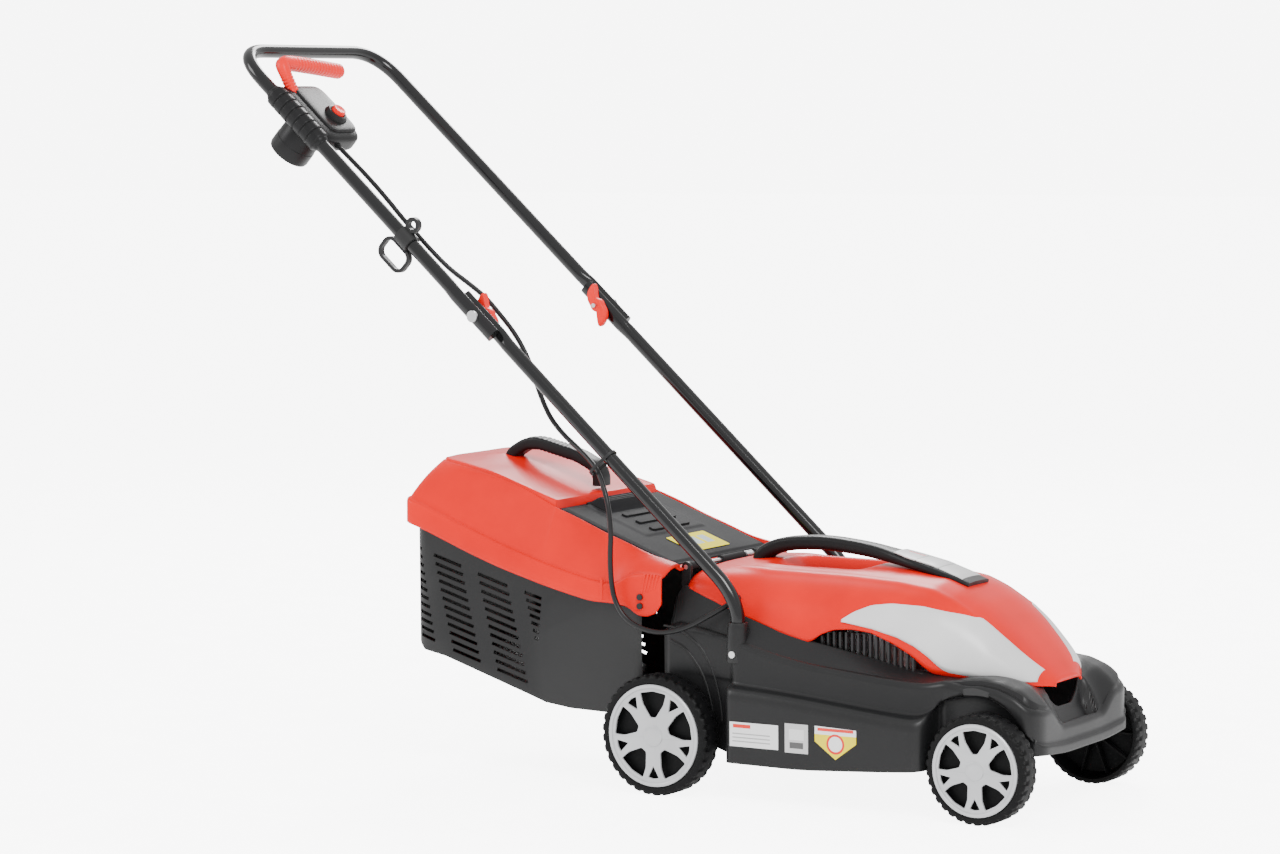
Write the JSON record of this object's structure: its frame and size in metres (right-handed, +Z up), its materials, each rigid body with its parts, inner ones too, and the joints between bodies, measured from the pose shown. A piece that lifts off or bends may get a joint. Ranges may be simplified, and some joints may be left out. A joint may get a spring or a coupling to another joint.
{
  "type": "push lawn mower",
  "caption": "Corded electric rotary lawn mower with folding tubular handle, height-adjustable wheels, rear flap and removable grass box.",
  "frame": {"origin": "middle of the mower's overall footprint, on the ground", "axes": "+X forward in the mowing direction, +Y to the mower's left, +Z up"},
  "size_m": [1.2338, 0.4068, 0.9954],
  "materials": {
    "deck_plastic": "textured black polypropylene",
    "red_plastic": "satin coral-red moulded plastic",
    "pale_trim": "pale grey moulded plastic",
    "handle_plastic": "fine-grained black plastic",
    "black_tube": "gloss black enamelled steel",
    "tyre_black": "black moulded wheel",
    "hubcap_silver": "silver-grey plastic",
    "bright_steel": "zinc-plated steel",
    "dark_steel": "oiled hardened steel",
    "motor_iron": "varnished iron laminations",
    "motor_alloy": "die-cast alloy",
    "brass_pin": "bright brass",
    "cord_rubber": "black flexible sheath",
    "label_paper": "coloured vinyl label",
    "lever_red": "bright red plastic"
  },
  "bodies": {
    "chassis": {"deck": "deck_plastic", "socket_screws": "bright_steel", "skirt_labels": "label_paper", "motor_cover": "red_plastic", "cable_gland": "cord_rubber", "side_trim_right": "pale_trim", "side_trim_left": "pale_trim", "vent_grille_right": "deck_plastic", "vent_grille_left": "deck_plastic", "carry_handle": "handle_plastic", "carry_handle_badge": "pale_trim", "cover_screws": "bright_steel", "motor_stator": "motor_iron", "motor_brackets": "motor_alloy", "motor_bearings": "bright_steel", "capacitor": "deck_plastic", "lower_tube_right": "black_tube", "lower_tube_left": "black_tube", "motor_lead": "cord_rubber", "cable_tie": "handle_plastic", "flap_pin": "bright_steel", "flap_spring": "bright_steel"},
    "front_axle": {"front_axle": "bright_steel", "front_push_nuts": "bright_steel"},
    "rear_axle": {"rear_axle": "bright_steel", "rear_push_nuts": "bright_steel"},
    "rotor": {"motor_shaft": "bright_steel", "rotor_core": "motor_iron", "fan_impeller": "deck_plastic", "blade_holder": "handle_plastic", "cutting_blade": "dark_steel", "blade_bolt": "bright_steel"},
    "rear_flap": {"rear_flap": "deck_plastic", "flap_label": "label_paper"},
    "grass_box": {"box_basket": "deck_plastic", "box_lid": "red_plastic", "box_handle": "handle_plastic", "box_pins": "handle_plastic"},
    "upper_handle": {"upper_tube": "black_tube", "fold_bolts": "bright_steel", "switch_box_cover": "handle_plastic", "switch_box_base": "handle_plastic", "inlet_pins": "brass_pin", "lead_sleeve": "cord_rubber", "micro_switch": "handle_plastic", "switch_box_screws": "bright_steel", "lever_pin": "bright_steel", "cable_hook": "handle_plastic"},
    "switch_lever": {"switch_lever": "lever_red"},
    "lock_button": {"lock_button": "lever_red"},
    "wing_nut_right": {"wing_nut_right": "lever_red"},
    "wing_nut_left": {"wing_nut_left": "lever_red"},
    "wheel_front_right": {"wheel_front_right": "tyre_black", "hubcap_front_right": "hubcap_silver"},
    "wheel_front_left": {"wheel_front_left": "tyre_black", "hubcap_front_left": "hubcap_silver"},
    "wheel_rear_right": {"wheel_rear_right": "tyre_black", "hubcap_rear_right": "hubcap_silver"},
    "wheel_rear_left": {"wheel_rear_left": "tyre_black", "hubcap_rear_left": "hubcap_silver"}
  },
  "joints": [
    {"name": "front_height", "type": "slide", "parent": "chassis", "child": "front_axle", "axis": [0, 0, 1], "range_m": [0, 0.026]},
    {"name": "rear_height", "type": "slide", "parent": "chassis", "child": "rear_axle", "axis": [0, 0, 1], "range_m": [0, 0.026]},
    {"name": "front_right_wheel_spin", "type": "hinge", "parent": "front_axle", "child": "wheel_front_right", "pos_m": [0.54839, 0, 0.07], "axis": [0, 1, 0], "continuous": true},
    {"name": "front_left_wheel_spin", "type": "hinge", "parent": "front_axle", "child": "wheel_front_left", "pos_m": [0.54839, 0, 0.07], "axis": [0, 1, 0], "continuous": true},
    {"name": "rear_right_wheel_spin", "type": "hinge", "parent": "rear_axle", "child": "wheel_rear_right", "pos_m": [0.08439, 0, 0.08], "axis": [0, 1, 0], "continuous": true},
    {"name": "rear_left_wheel_spin", "type": "hinge", "parent": "rear_axle", "child": "wheel_rear_left", "pos_m": [0.08439, 0, 0.08], "axis": [0, 1, 0], "continuous": true},
    {"name": "blade_spin", "type": "hinge", "parent": "chassis", "child": "rotor", "pos_m": [0.32439, 0, 0.079], "axis": [0, 0, 1], "continuous": true},
    {"name": "flap_open", "type": "hinge", "parent": "chassis", "child": "rear_flap", "pos_m": [0.08939, 0, 0.295], "axis": [0, 1, 0], "range_deg": [0, 65], "stiffness_Nm_per_rad": 0.25, "springref_deg": -22.92},
    {"name": "grass_box_lift", "type": "slide", "parent": "chassis", "child": "grass_box", "axis": [-0.9367, 0, 0.3502], "range_m": [0, 0.45]},
    {"name": "handle_fold", "type": "hinge", "parent": "chassis", "child": "upper_handle", "pos_m": [-0.20792, 0, 0.62407], "axis": [0, 1, 0], "range_deg": [0, 145], "deforming": ["motor_lead"]},
    {"name": "wing_nut_right_turn", "type": "hinge", "parent": "upper_handle", "child": "wing_nut_right", "pos_m": [-0.20792, -0.14, 0.62407], "axis": [0, 1, 0], "continuous": true},
    {"name": "wing_nut_left_turn", "type": "hinge", "parent": "upper_handle", "child": "wing_nut_left", "pos_m": [-0.20792, 0.14, 0.62407], "axis": [0, 1, 0], "continuous": true},
    {"name": "switch_lever_pull", "type": "hinge", "parent": "upper_handle", "child": "switch_lever", "pos_m": [-0.52841, 0, 0.9182], "axis": [0, -1, 0], "range_deg": [0, 22], "stiffness_Nm_per_rad": 1.2, "springref_deg": -8.59},
    {"name": "lock_button_press", "type": "slide", "parent": "upper_handle", "child": "lock_button", "axis": [-0.6727, 0, -0.7399], "range_m": [0, 0.004], "stiffness_N_per_m": 400, "springref_m": -0.001}
  ]
}
